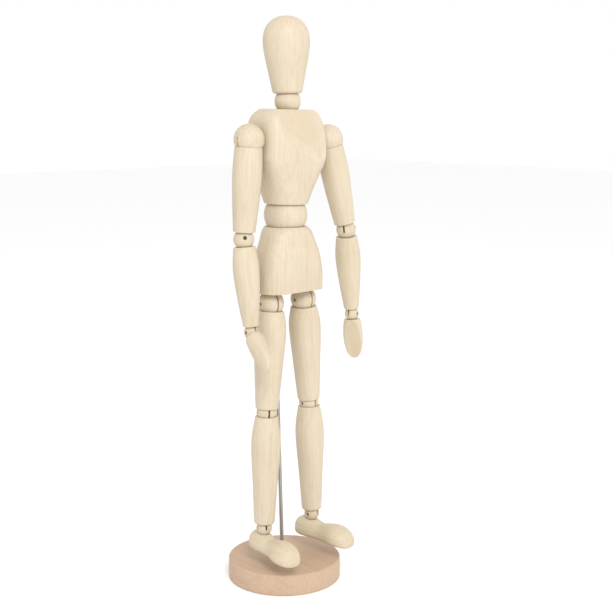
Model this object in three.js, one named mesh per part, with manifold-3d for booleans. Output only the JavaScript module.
// A jointed wooden artist's figure on a round stand.
// Millimetres, +Z up. The figure faces -Y, and its right side is at -X.
// The origin is the centre of the stand's underside.

import * as THREE from "three";
import { mergeVertices } from "three/addons/utils/BufferGeometryUtils.js";
import Module from "manifold-3d";

const wasm = await Module();
wasm.setup();

const { degToRad } = THREE.MathUtils;
const DOWN = new THREE.Vector3(0, 0, -1);
const UP = new THREE.Vector3(0, 0, 1);

// ---- driving dimensions ----

const GAP = 0.35; // clearance between a ball and its socket
const SIDES = 14; // facets around a turned piece
const RINGS = 8; // facets from pole to pole of a ball
const SOCKET_STEPS = 3; // facets from rim to bore of a socket

const BASE = { radius: 50.8, height: 19, edge: 1.5, sides: 32 };
// The rod leans a little. y is where its line meets the ground, and lean is in degrees.
const ROD = {
  radius: 1.7,
  y: 2.3,
  lean: { back: 0.95, side: -1.05 },
  foot: 5.5,
  top: 289,
  hole: 2.1,
  sides: 8,
};

const WAIST = { at: new THREE.Vector3(0, -3, 331), radius: 18.9, rim: 10 };
const NECK = { rise: 97.3, radius: 11.2, rim: 6.6 };
const CHEST_LEAN = { forward: 0.8, side: 0.9 }; // degrees from upright
const HEAD_LEAN = { back: 0.9, side: 0.8 }; // degrees

const SHOULDER = { x: 45.3, forward: 3.8, rise: 65.2, radius: 13, rim: 6.4 };
const HIP = { x: 18.8, y: -5, z: 255.2, radius: 11.35, rim: 6.7 };
const ELBOW = { radius: 8.8, rim: 6.2, pinRise: 2 };
const WRIST = { radius: 6.5, rim: 5.2 };
const KNEE = { radius: 8.9, rim: 3.5 };
const ANKLE = { radius: 6.9, rim: 4.2 };

const UPPER_ARM = 84; // ball centre to ball centre
const FOREARM = 79.8;
const THIGH = 96.8;
const SHIN = 105.9;

const BORE = 3.2; // the springs' bores
const PIN = { radius: 1.2, hole: 1.7, reach: 0.8, sides: 6 };
const SLOT = 1.7; // width of the saw cut that a spring's hook runs in
const WIRE = 0.3;
const COIL = 2.35; // radius of a spring's turns, to the middle of the wire
const HOOK = 1.65; // radius of a hook round its pin
const HOOK_ASIDE = 0.45; // two hooks share a pin, one each side of its middle
const SPRING_CLEAR = 2; // from the end of a bore, or from a ball, to the nearest turn
const EDGE = 0.8; // broken edges of the limbs

// The stored pose, in degrees: how far each limb leans outward and backward from
// straight down, and how far each ball is turned about its limb.
const POSE = {
  right: {
    side: -1,
    upperArm: { out: 3, back: 1.9 },
    forearm: { out: -2, back: -4.3 },
    hand: { out: 13, back: -49, palm: -90 },
    thigh: { out: 3.3, back: 0 },
    shin: { out: 1.6, back: 0.5 },
    foot: -7.5,
    turn: { shoulder: 90, elbow: 59, wrist: 0, hip: -6, knee: -25, ankle: -22 },
  },
  left: {
    side: 1,
    upperArm: { out: 13.8, back: -1.7 },
    forearm: { out: 8.4, back: 2.8 },
    hand: { out: 4, back: -1, palm: 127 },
    thigh: { out: 5.4, back: 1.5 },
    shin: { out: 1.2, back: -0.9 },
    foot: 5,
    turn: { shoulder: 90, elbow: -57, wrist: -75, hip: 4, knee: 2, ankle: 11 },
  },
};

// ---- finishes ----

const finish = (color, roughness, metalness = 0) => () =>
  new THREE.MeshStandardMaterial({ color, roughness, metalness });
const paleWood = finish(0xe8d9b8, 0.6);
const endGrainWood = finish(0xe3d2a4, 0.62);
const standWood = finish(0xd2b496, 0.6);
const steel = finish(0x9c958a, 0.35, 1);
const springSteel = finish(0x6e6a64, 0.4, 1);

// ---- solids ----

function toSolid(geometry) {
  const bare = new THREE.BufferGeometry();
  bare.setAttribute("position", geometry.getAttribute("position"));
  bare.setIndex(geometry.index);
  const merged = mergeVertices(bare, 1e-4);
  return new wasm.Manifold(
    new wasm.Mesh({
      numProp: 3,
      vertProperties: merged.attributes.position.array,
      triVerts: new Uint32Array(merged.index.array),
    }),
  );
}

function toGeometry(solid) {
  const made = solid.getMesh();
  const geometry = new THREE.BufferGeometry();
  const positions = new Float32Array(made.vertProperties);
  geometry.setAttribute("position", new THREE.BufferAttribute(positions, 3));
  geometry.setIndex(new THREE.BufferAttribute(new Uint32Array(made.triVerts), 1));
  return geometry;
}

// The geometry that is left of body when every tool is cut from it.
function carve(body, tools) {
  return toGeometry(
    tools.reduce((left, tool) => left.subtract(toSolid(tool)), toSolid(body)),
  );
}

// A turned shape about Z. The profile's [radius, z] points run upward on the outside.
function turned(profile, sides = SIDES) {
  const points = profile.map(([radius, z]) => new THREE.Vector2(radius, z));
  return new THREE.LatheGeometry(points, sides).rotateX(Math.PI / 2);
}

function ball(radius) {
  return new THREE.SphereGeometry(radius, SIDES, RINGS).rotateX(Math.PI / 2);
}

// A ball-shaped cutter whose flat facets still clear a ball of the given radius.
function socketCutter(radius) {
  const shrink = Math.cos(Math.PI / SIDES) * Math.cos(Math.PI / RINGS / 2);
  return ball((radius + GAP) / shrink);
}

function rodBetween(radius, low, high, sides = SIDES) {
  const length = high - low;
  const rod = new THREE.CylinderGeometry(radius, radius, length, sides);
  return rod.rotateX(Math.PI / 2).translate(0, 0, low + length / 2);
}

// A piece of the support rod's line, between two heights along it.
function rodLine(radius, low, high) {
  const line = rodBetween(radius, low, high, ROD.sides);
  line.rotateX(-degToRad(ROD.lean.back)).rotateY(degToRad(ROD.lean.side));
  return line.translate(0, ROD.y, 0);
}

// A closed skin over rings of Vector3, which run anticlockwise seen from the last ring's side.
function skin(rings) {
  const count = rings[0].length;
  const middle = (ring) =>
    ring
      .reduce((sum, point) => sum.add(point), new THREE.Vector3())
      .divideScalar(count);
  const points = [...rings.flat(), middle(rings[0]), middle(rings.at(-1))];
  const first = rings.length * count;
  const faces = [];
  for (let i = 0; i < count; i++) {
    const next = (i + 1) % count;
    faces.push(first, next, i);
    faces.push(first + 1, first - count + i, first - count + next);
    for (let r = 0; r < rings.length - 1; r++) {
      const low = r * count;
      const high = low + count;
      faces.push(low + i, low + next, high + next);
      faces.push(low + i, high + next, high + i);
    }
  }
  const geometry = new THREE.BufferGeometry().setFromPoints(points);
  return geometry.setIndex(faces);
}

// A superellipse's points: power 2 is an ellipse, and larger powers are squarer.
function outline(halfWidth, halfDepth, power, sides) {
  const squared = (value) => Math.sign(value) * Math.abs(value) ** (2 / power);
  return Array.from({ length: sides }, (_, i) => {
    const angle = (2 * Math.PI * i) / sides;
    return new THREE.Vector2(
      halfWidth * squared(Math.cos(angle)),
      halfDepth * squared(Math.sin(angle)),
    );
  });
}

// ---- wire: springs and their hooks ----

class WirePath extends THREE.Curve {
  constructor(points) {
    super();
    this.points = points;
  }
  getPoint(t, target = new THREE.Vector3()) {
    const along = THREE.MathUtils.clamp(t, 0, 1) * (this.points.length - 1);
    const start = Math.min(Math.floor(along), this.points.length - 2);
    return target.lerpVectors(
      this.points[start],
      this.points[start + 1],
      along - start,
    );
  }
  getUtoTmapping(u) {
    return u;
  }
}

function wire(points) {
  const corners = outline(WIRE, WIRE, 2, 4);
  return new THREE.ExtrudeGeometry(new THREE.Shape(corners), {
    steps: points.length - 1,
    extrudePath: new WirePath(points),
    bevelEnabled: false,
  });
}

// A hook round a pin, from its free end to the foot of its shank, which leaves the ball along
// the slot. The hook lies square to the pin, toward the coil; aside moves it along the pin.
function hookPoints({ pinAt, pin, radius }, toCoil, aside) {
  const HOOK_STEPS = 6;
  const along = toCoil.clone().projectOnPlane(pin).normalize();
  const across = pin.clone().cross(along);
  const point = (sideways, forward) =>
    pinAt
      .clone()
      .addScaledVector(pin, aside)
      .addScaledVector(across, sideways)
      .addScaledVector(along, forward);
  const bend = Array.from({ length: HOOK_STEPS + 1 }, (_, i) => {
    const angle = degToRad(20 - (200 * i) / HOOK_STEPS);
    return point(HOOK * Math.cos(angle), HOOK * Math.sin(angle));
  });
  return [...bend, point(-HOOK, radius + 0.4)];
}

// Turns about Z between two heights, from a start angle, over a given sweep.
function coilPoints(from, to, start, sweep, stepsPerTurn = 6) {
  const steps = Math.ceil((Math.abs(sweep) / (2 * Math.PI)) * stepsPerTurn);
  return Array.from({ length: steps + 1 }, (_, i) => {
    const angle = start + (sweep * i) / steps;
    const z = from + ((to - from) * i) / steps;
    return new THREE.Vector3(COIL * Math.cos(angle), COIL * Math.sin(angle), z);
  });
}

// A tension spring in the frame of its limb, hooked round the pin of the ball at each end.
// Each end gives its ball's radius, its pin's middle and its pin's direction.
function limbSpring(length, top, bottom, turns) {
  const topHook = hookPoints(top, DOWN, -HOOK_ASIDE);
  const lowHook = hookPoints(bottom, UP, HOOK_ASIDE);
  const from = -top.radius - SPRING_CLEAR;
  const to = -length + bottom.radius + SPRING_CLEAR;
  const angleOf = (point) => Math.atan2(point.y, point.x);
  const start = angleOf(topHook.at(-1));
  const between = angleOf(lowHook.at(-1)) - start;
  const sweep = 2 * Math.PI * turns + between;
  const coil = coilPoints(from, to, start, sweep);
  return wire([...topHook, ...coil, ...lowHook.reverse()]);
}

// A short spring with one hook, whose other end is held in its bore. It runs up or down.
function endSpring(end, direction, aside, [from, to], turns) {
  const hook = hookPoints(end, direction, aside);
  const start = Math.atan2(hook.at(-1).y, hook.at(-1).x);
  const coil = coilPoints(from, to, start, 2 * Math.PI * turns);
  return wire([...hook, ...coil]);
}

// ---- turned limbs ----

// The socket that a limb's end turns on: its radius, and the angle of its rim and of its bore,
// both measured from the limb's axis.
function socket({ radius, rim }) {
  const shrink = Math.cos(Math.PI / SIDES) * Math.cos(degToRad(12));
  const cup = (radius + GAP) / shrink;
  return { cup, rimAngle: Math.acos(rim / cup), boreAngle: Math.asin(BORE / cup) };
}

// [radius, distance along the axis from the ball's centre] from the rim inward to the bore.
function socketProfile(joint) {
  const { cup, rimAngle, boreAngle } = socket(joint);
  return Array.from({ length: SOCKET_STEPS + 1 }, (_, i) => {
    const angle = THREE.MathUtils.lerp(rimAngle, boreAngle, i / SOCKET_STEPS);
    return [cup * Math.sin(angle), cup * Math.cos(angle)];
  });
}

// A limb hangs from the ball at its own origin to the ball at -length. Its waists are
// [share of the way down, radius]; the first and last are the rims.
function limbSolid(length, upper, lower, waists, edges = [EDGE, EDGE]) {
  const top = -upper.rim;
  const bottom = -length + lower.rim;
  const [topEdge, lowEdge] = edges;
  const curve = new THREE.SplineCurve(
    waists.map(([share, radius]) => new THREE.Vector2(radius, share)),
  );
  const OUTSIDE_STEPS = 6;
  const outside = curve
    .getPoints(OUTSIDE_STEPS)
    .map(({ x, y }) => [
      x,
      THREE.MathUtils.lerp(top - topEdge, bottom + lowEdge, y),
    ])
    .reverse();
  const lowRim = waists.at(-1)[1] - lowEdge;
  const topRim = waists[0][1] - topEdge;
  const cupTop = socketProfile(upper).map(([radius, z]) => [radius, -z]);
  const cupLow = socketProfile(lower)
    .map(([radius, z]) => [radius, z - length])
    .reverse();
  const inside = [...cupTop, ...cupLow];
  return turned([
    cupLow.at(-1),
    [lowRim, bottom],
    ...outside,
    [topRim, top],
    ...inside,
  ]);
}

// ---- balls ----

// A slotted ball, in its own frame: the pin runs along X, and the slot is the plane square to
// it. The slot is open from the top down to slotFoot (a share of the radius), and narrower
// below that, so that the ball's halves stay joined. A shoulder ball is slotted from below,
// and its pin is driven in from the back only.
function jointBall({ radius, pinRise = 0 }, slotFoot, isShoulder = false) {
  const NARROW = 0.6;
  const reach = 1.2 * radius;
  const floor = slotFoot * radius;
  const wide = new THREE.BoxGeometry(SLOT, 2 * reach, reach - floor);
  wide.translate(0, 0, (reach + floor) / 2);
  const narrow = new THREE.BoxGeometry(SLOT, 2 * NARROW * radius, 2 * reach);
  if (isShoulder) wide.rotateX(Math.PI);
  const from = isShoulder ? -(PIN.reach * radius + GAP) : -reach;
  const drilled = rodBetween(PIN.hole, from, reach, PIN.sides);
  drilled.rotateY(Math.PI / 2).translate(0, 0, pinRise);
  return carve(ball(radius), [wide, narrow, drilled]);
}

function pinSolid(radius) {
  const half = PIN.reach * radius;
  return rodBetween(PIN.radius, -half, half, PIN.sides).rotateY(Math.PI / 2);
}

// A ball with only an upright bore, for the neck and the waist.
function boredBall(radius) {
  return carve(ball(radius), [rodBetween(BORE, -2 * radius, 2 * radius)]);
}

// ---- shaped blocks ----

const CHEST_SIDES = 24;

// [height above the waist ball's centre, half width, half depth, squareness]
const CHEST = [
  [10, 19.2, 18.8, 2],
  [22, 23.6, 20.3, 2.4],
  [34, 28, 21.8, 3],
  [46.5, 32.6, 23.3, 3.8],
  [56, 33, 23.8, 4],
  [65, 33.2, 23.8, 4],
  [75.5, 33, 23.4, 3.7],
  [82, 32, 22.6, 3.4],
  [87, 29.2, 20.5, 3],
  [90.6, 24.4, 17.5, 2.7],
];
// The upper front is cut flat by a plane through a point on the middle of the front. It
// leans back and turns a little to the figure's left, in degrees.
const CHEST_CUT = { height: 54, reach: 23.1, slope: 17.2, turn: 8.5 };

// A block that cuts away all that lies in front of a plane.
function frontCutter({ height, reach, slope, turn }) {
  const SIZE = 90;
  const block = new THREE.BoxGeometry(SIZE, SIZE, SIZE);
  block.translate(0, -SIZE / 2, 0).rotateX(-degToRad(slope)).rotateZ(degToRad(turn));
  return block.translate(0, -reach, height);
}

function blockRings(table) {
  return table.map(([z, halfWidth, halfDepth, power, shift = 0]) =>
    outline(halfWidth, halfDepth, power, CHEST_SIDES).map(
      ({ x, y }) => new THREE.Vector3(x, y + shift, z),
    ),
  );
}

function chestSolid() {
  const shoulderY = -SHOULDER.forward;
  const cups = [-1, 1].map((side) =>
    socketCutter(SHOULDER.radius).translate(
      side * SHOULDER.x,
      shoulderY,
      SHOULDER.rise,
    ),
  );
  const crossBore = rodBetween(BORE, -SHOULDER.x, SHOULDER.x)
    .rotateY(Math.PI / 2)
    .translate(0, shoulderY, SHOULDER.rise);
  return carve(skin(blockRings(CHEST)), [
    frontCutter(CHEST_CUT),
    socketCutter(WAIST.radius),
    socketCutter(NECK.radius).translate(0, 0, NECK.rise),
    ...cups,
    crossBore,
    rodBetween(BORE, 0, SPRING_BORES.chestFoot),
    rodBetween(BORE, SPRING_BORES.chestTop, NECK.rise),
  ]);
}

// [height above the waist ball's centre, half width, half depth, squareness, shift in Y]
const PELVIS = [
  [-66, 32.4, 23.1, 2.7, -1],
  [-64.8, 32.9, 23.5, 2.7, -1],
  [-50, 33, 23.6, 2.7, -1],
  [-35, 30, 21.4, 2.6, -2.2],
  [-22, 25.4, 19.5, 2.4, -2],
  [-14, 22.4, 19.2, 2.2, -1],
  [-10, 18.6, 18.6, 2, 0],
];
// The lower front is cut flat in the same way.
const PELVIS_CUT = { height: -45, reach: 22.6, slope: -3, turn: 3.7 };

function pelvisSolid() {
  const hips = [-1, 1].flatMap((side) => {
    const at = [side * HIP.x, HIP.y - WAIST.at.y, HIP.z - WAIST.at.z];
    return [
      socketCutter(HIP.radius).translate(...at),
      rodBetween(BORE, 0, SPRING_BORES.hip).translate(...at),
    ];
  });
  const rodHole = rodLine(ROD.hole, WAIST.at.z + PELVIS[0][0] - 5, ROD.top + 1);
  return carve(skin(blockRings(PELVIS)), [
    frontCutter(PELVIS_CUT),
    socketCutter(WAIST.radius),
    rodBetween(BORE, -SPRING_BORES.pelvis, 0),
    ...hips,
    rodHole.translate(...WAIST.at.clone().negate()),
  ]);
}

// How deep each spring's bore runs, measured from the centre of the ball that it starts at.
const SPRING_BORES = {
  chestFoot: 36,
  chestTop: 76,
  pelvis: 34,
  hip: 32,
  head: 30,
  hand: 17,
  foot: 17,
};

// [radius, height above the neck ball's centre] up the outside of the head.
const HEAD = [
  [11.9, 6.6],
  [12.9, 8],
  [14, 14],
  [16.4, 26],
  [18.8, 38],
  [20.1, 48.5],
  [19.4, 57],
  [16.4, 64],
  [11.2, 68.9],
  [5.6, 71.1],
  [0, 71.7],
];

function headSolid() {
  const cup = socketProfile(NECK);
  const bore = [
    [0, SPRING_BORES.head],
    [BORE, SPRING_BORES.head],
  ];
  return turned([...bore, ...cup.reverse(), ...HEAD]);
}

// [distance below the wrist ball's centre, half width, half thickness, shift to the back]
const HAND = [
  [42.6, 1.5, 1, 1.9],
  [41.6, 3.6, 2.3, 1.7],
  [37.5, 6.3, 3.9, 1.2],
  [30, 8.4, 5.3, 0.6],
  [22, 9, 6.4, 0.2],
  [14, 8.7, 7.3, 0],
  [8, 8, 7.6, 0],
  [5.6, 7.4, 7, 0],
  [5.2, 6.6, 6.4, 0],
];
const PALM = { atWrist: 6.6, atTip: -0.6, wrist: 8, tip: 42.6 };

// The hand's palm is a flat cut that runs from the heel of the hand to the fingertips.
function handSolid() {
  const HAND_SIDES = 14;
  const rings = HAND.map(([drop, halfWidth, halfThick, shift]) => {
    const palm = THREE.MathUtils.mapLinear(
      drop,
      PALM.wrist,
      PALM.tip,
      PALM.atWrist,
      PALM.atTip,
    );
    return outline(halfWidth, halfThick, 2.2, HAND_SIDES).map(
      ({ x, y }) =>
        new THREE.Vector3(x, Math.min(y - shift, Math.max(palm, -shift)), -drop),
    );
  });
  return carve(skin(rings), [
    socketCutter(WRIST.radius),
    rodBetween(BORE, -SPRING_BORES.hand, 0),
  ]);
}

// [forward of the ankle, half width, height of the top below the ankle ball's centre,
// height of the underside below it]
const FOOT = [
  [-17.4, 2.2, 12, 18],
  [-16, 6, 8.2, 21.6],
  [-11, 9.1, 5, 23],
  [-2, 9.7, 4.2, 23],
  [5.5, 8.6, 5.4, 23],
  [12.5, 7.7, 7, 23],
  [19.5, 8.9, 6, 23],
  [26.5, 11.2, 4.8, 23],
  [33, 12.3, 5, 23],
  [40, 11.2, 7.5, 23],
  [45.8, 7.6, 12.4, 22.6],
  [48.2, 2.4, 16.8, 21.2],
];

// A foot is round on top and flat underneath.
function footSolid() {
  const FOOT_SIDES = 14;
  const WIDEST = 0.36; // share of the height at which the foot is widest
  const rings = FOOT.map(([forward, halfWidth, top, under]) => {
    const height = under - top;
    const level = -under + WIDEST * height;
    return outline(1, 1, 2.3, FOOT_SIDES).map(({ x, y }) => {
      const z = y > 0 ? y * (1 - WIDEST) : y * WIDEST;
      return new THREE.Vector3(x * halfWidth, -forward, level + z * height);
    });
  });
  return carve(skin(rings), [
    socketCutter(ANKLE.radius),
    rodBetween(BORE, -SPRING_BORES.foot, 0),
  ]);
}

// ---- the stand ----

function baseSolid() {
  const { radius, height, edge, sides } = BASE;
  const disc = turned(
    [
      [0, 0],
      [radius - edge, 0],
      [radius, edge],
      [radius, height - edge],
      [radius - edge, height],
      [0, height],
    ],
    sides,
  );
  return carve(disc, [rodLine(ROD.hole, ROD.foot - 0.5, height + 5)]);
}

// ---- assembly ----

const figure = new THREE.Group();

function place(name, geometry, material, at, turn = new THREE.Quaternion()) {
  const mesh = new THREE.Mesh(geometry, material());
  mesh.name = name;
  mesh.position.copy(at);
  mesh.quaternion.copy(turn);
  figure.add(mesh);
  return mesh;
}

function limbDirection({ out, back }, side) {
  const sideways = side * Math.tan(degToRad(out));
  return new THREE.Vector3(sideways, Math.tan(degToRad(back)), -1).normalize();
}

const hangAlong = (direction) =>
  new THREE.Quaternion().setFromUnitVectors(DOWN, direction);

// A ball lies along the mean of the two limbs that it joins, turned about that line.
function ballTurn(above, below, turn) {
  const along = above.clone().add(below).normalize();
  const about = new THREE.Quaternion().setFromAxisAngle(UP, degToRad(turn));
  return hangAlong(along).multiply(about);
}

// One ball with its pin. Its frame is what the springs hook onto.
function placeBall(name, joint, geometry, at, turn) {
  place(`${name}_ball`, geometry, paleWood, at, turn);
  const rise = new THREE.Vector3(0, 0, joint.pinRise ?? 0);
  const pinAt = rise.applyQuaternion(turn).add(at);
  place(`${name}_pin`, pinSolid(joint.radius), steel, pinAt, turn);
  const pin = new THREE.Vector3(1, 0, 0).applyQuaternion(turn);
  return { at, pinAt, pin, radius: joint.radius };
}

// A ball's frame as seen from a limb that is placed at origin and turn.
function seenFrom({ pinAt, pin, radius }, origin, turn) {
  const back = turn.clone().invert();
  return {
    radius,
    pinAt: pinAt.clone().sub(origin).applyQuaternion(back),
    pin: pin.clone().applyQuaternion(back),
  };
}

// A limb between two balls, with the spring that runs through it.
function placeLimb(name, length, upper, lower, direction, geometry, turns) {
  const turn = hangAlong(direction);
  place(name, geometry, paleWood, upper.at, turn);
  const spring = limbSpring(
    length,
    seenFrom(upper, upper.at, turn),
    seenFrom(lower, upper.at, turn),
    turns,
  );
  place(`${name}_spring`, spring, springSteel, upper.at, turn);
}

function placeStand() {
  const origin = new THREE.Vector3();
  place("base_disc", baseSolid(), standWood, origin);
  place("support_rod", rodLine(ROD.radius, ROD.foot, ROD.top), steel, origin);
}

const chestTurn = new THREE.Quaternion().setFromEuler(
  new THREE.Euler(degToRad(CHEST_LEAN.forward), degToRad(CHEST_LEAN.side), 0),
);
const inChest = (x, y, z) =>
  new THREE.Vector3(x, y, z).applyQuaternion(chestTurn).add(WAIST.at);

function placeTrunk() {
  const neckAt = inChest(0, 0, NECK.rise);
  const headTurn = new THREE.Quaternion().setFromEuler(
    new THREE.Euler(-degToRad(HEAD_LEAN.back), -degToRad(HEAD_LEAN.side), 0),
  );
  place("pelvis", pelvisSolid(), paleWood, WAIST.at);
  place("waist_ball", boredBall(WAIST.radius), paleWood, WAIST.at);
  place("chest", chestSolid(), paleWood, WAIST.at, chestTurn);
  place("neck_ball", boredBall(NECK.radius), paleWood, neckAt, chestTurn);
  place("head", headSolid(), paleWood, neckAt, headTurn);

  const waistFoot = SPRING_CLEAR - SPRING_BORES.pelvis;
  const waistTop = SPRING_BORES.chestFoot - SPRING_CLEAR;
  const waistCoil = coilPoints(waistFoot, waistTop, 0, 10 * Math.PI);
  const halfLean = new THREE.Quaternion().slerp(chestTurn, 0.5);
  place("waist_spring", wire(waistCoil), springSteel, WAIST.at, halfLean);
  const neckFoot = SPRING_BORES.chestTop + SPRING_CLEAR - NECK.rise;
  const neckTop = SPRING_BORES.head - SPRING_CLEAR;
  const neckCoil = coilPoints(neckFoot, neckTop, 0, 8 * Math.PI);
  place("neck_spring", wire(neckCoil), springSteel, neckAt);
}

function placeArm(name, pose) {
  const { side, turn } = pose;
  const upperArmWay = limbDirection(pose.upperArm, side);
  const forearmWay = limbDirection(pose.forearm, side);
  const handWay = limbDirection(pose.hand, side);
  const shoulderAt = inChest(side * SHOULDER.x, -SHOULDER.forward, SHOULDER.rise);
  const elbowAt = shoulderAt.clone().addScaledVector(upperArmWay, UPPER_ARM);
  const wristAt = elbowAt.clone().addScaledVector(forearmWay, FOREARM);

  const shoulder = placeBall(
    `${name}_shoulder`,
    SHOULDER,
    jointBall(SHOULDER, -0.18, true),
    shoulderAt,
    ballTurn(DOWN, DOWN, turn.shoulder),
  );
  const elbow = placeBall(
    `${name}_elbow`,
    ELBOW,
    jointBall(ELBOW, -0.12),
    elbowAt,
    ballTurn(upperArmWay, forearmWay, turn.elbow),
  );
  const wrist = placeBall(
    `${name}_wrist`,
    WRIST,
    jointBall(WRIST, -0.12),
    wristAt,
    ballTurn(forearmWay, handWay, turn.wrist),
  );

  const upperArm = limbSolid(UPPER_ARM, SHOULDER, ELBOW, [
    [0, 11.8],
    [0.3, 12.6],
    [0.65, 11.4],
    [1, 9.5],
  ]);
  placeLimb(`${name}_upper_arm`, UPPER_ARM, shoulder, elbow, upperArmWay, upperArm, 4);
  const forearm = limbSolid(FOREARM, ELBOW, WRIST, [
    [0, 9.6],
    [0.28, 11.4],
    [0.65, 9.6],
    [1, 6.8],
  ]);
  placeLimb(`${name}_forearm`, FOREARM, elbow, wrist, forearmWay, forearm, 4);

  const palm = new THREE.Quaternion().setFromAxisAngle(UP, degToRad(pose.hand.palm));
  const handTurn = hangAlong(handWay).multiply(palm);
  place(`${name}_hand`, handSolid(), paleWood, wristAt, handTurn);
  const end = seenFrom(wrist, wristAt, handTurn);
  const handSpan = [-WRIST.radius - 1, SPRING_CLEAR - SPRING_BORES.hand];
  const spring = endSpring(end, DOWN, -HOOK_ASIDE, handSpan, 2);
  place(`${name}_hand_spring`, spring, springSteel, wristAt, handTurn);
  return shoulder;
}

// One spring crosses the chest and pulls both shoulder balls into their sockets.
function placeShoulderSpring(right, left) {
  const along = hangAlong(left.at.clone().sub(right.at).normalize());
  const span = left.at.distanceTo(right.at);
  const upper = seenFrom(right, right.at, along);
  const lower = seenFrom(left, right.at, along);
  upper.pin.negate(); // its hook goes on the side of the pin that the arm's spring leaves free
  const spring = limbSpring(span, upper, lower, 4);
  place("shoulder_spring", spring, springSteel, right.at, along);
}

function placeLeg(name, pose) {
  const { side, turn } = pose;
  const thighWay = limbDirection(pose.thigh, side);
  const shinWay = limbDirection(pose.shin, side);
  const hipAt = new THREE.Vector3(side * HIP.x, HIP.y, HIP.z);
  const kneeAt = hipAt.clone().addScaledVector(thighWay, THIGH);
  const ankleAt = kneeAt.clone().addScaledVector(shinWay, SHIN);

  const hip = placeBall(
    `${name}_hip`,
    HIP,
    jointBall(HIP, -0.68),
    hipAt,
    ballTurn(DOWN, DOWN, turn.hip),
  );
  const knee = placeBall(
    `${name}_knee`,
    KNEE,
    jointBall(KNEE, -0.5),
    kneeAt,
    ballTurn(thighWay, shinWay, turn.knee),
  );
  const ankle = placeBall(
    `${name}_ankle`,
    ANKLE,
    jointBall(ANKLE, -0.12),
    ankleAt,
    ballTurn(shinWay, DOWN, turn.ankle),
  );

  const thigh = limbSolid(THIGH, HIP, KNEE, [
    [0, 11.8],
    [0.2, 14.3],
    [0.6, 12.4],
    [1, 10.1],
  ]);
  placeLimb(`${name}_thigh`, THIGH, hip, knee, thighWay, thigh, 4);
  const shin = limbSolid(
    SHIN,
    KNEE,
    ANKLE,
    [
      [0, 10.2],
      [0.25, 13.1],
      [0.65, 11],
      [1, 9.2],
    ],
    [EDGE, 2],
  );
  placeLimb(`${name}_shin`, SHIN, knee, ankle, shinWay, shin, 5);

  const footTurn = new THREE.Quaternion().setFromAxisAngle(UP, degToRad(pose.foot));
  place(`${name}_foot`, footSolid(), endGrainWood, ankleAt, footTurn);
  const footEnd = seenFrom(ankle, ankleAt, footTurn);
  const footSpan = [-ANKLE.radius - 1, SPRING_CLEAR - SPRING_BORES.foot];
  const footSpring = endSpring(footEnd, DOWN, -HOOK_ASIDE, footSpan, 2);
  place(`${name}_foot_spring`, footSpring, springSteel, ankleAt, footTurn);

  const upright = new THREE.Quaternion();
  const hipEnd = seenFrom(hip, hipAt, upright);
  const hipSpan = [HIP.radius + SPRING_CLEAR, SPRING_BORES.hip - SPRING_CLEAR];
  const hipSpring = endSpring(hipEnd, UP, HOOK_ASIDE, hipSpan, 3);
  place(`${name}_hip_spring`, hipSpring, springSteel, hipAt, upright);
}

placeStand();
placeTrunk();
const [rightShoulder, leftShoulder] = ["right", "left"].map((name) =>
  placeArm(name, POSE[name]),
);
placeShoulderSpring(rightShoulder, leftShoulder);
for (const name of ["right", "left"]) placeLeg(name, POSE[name]);

export default figure;
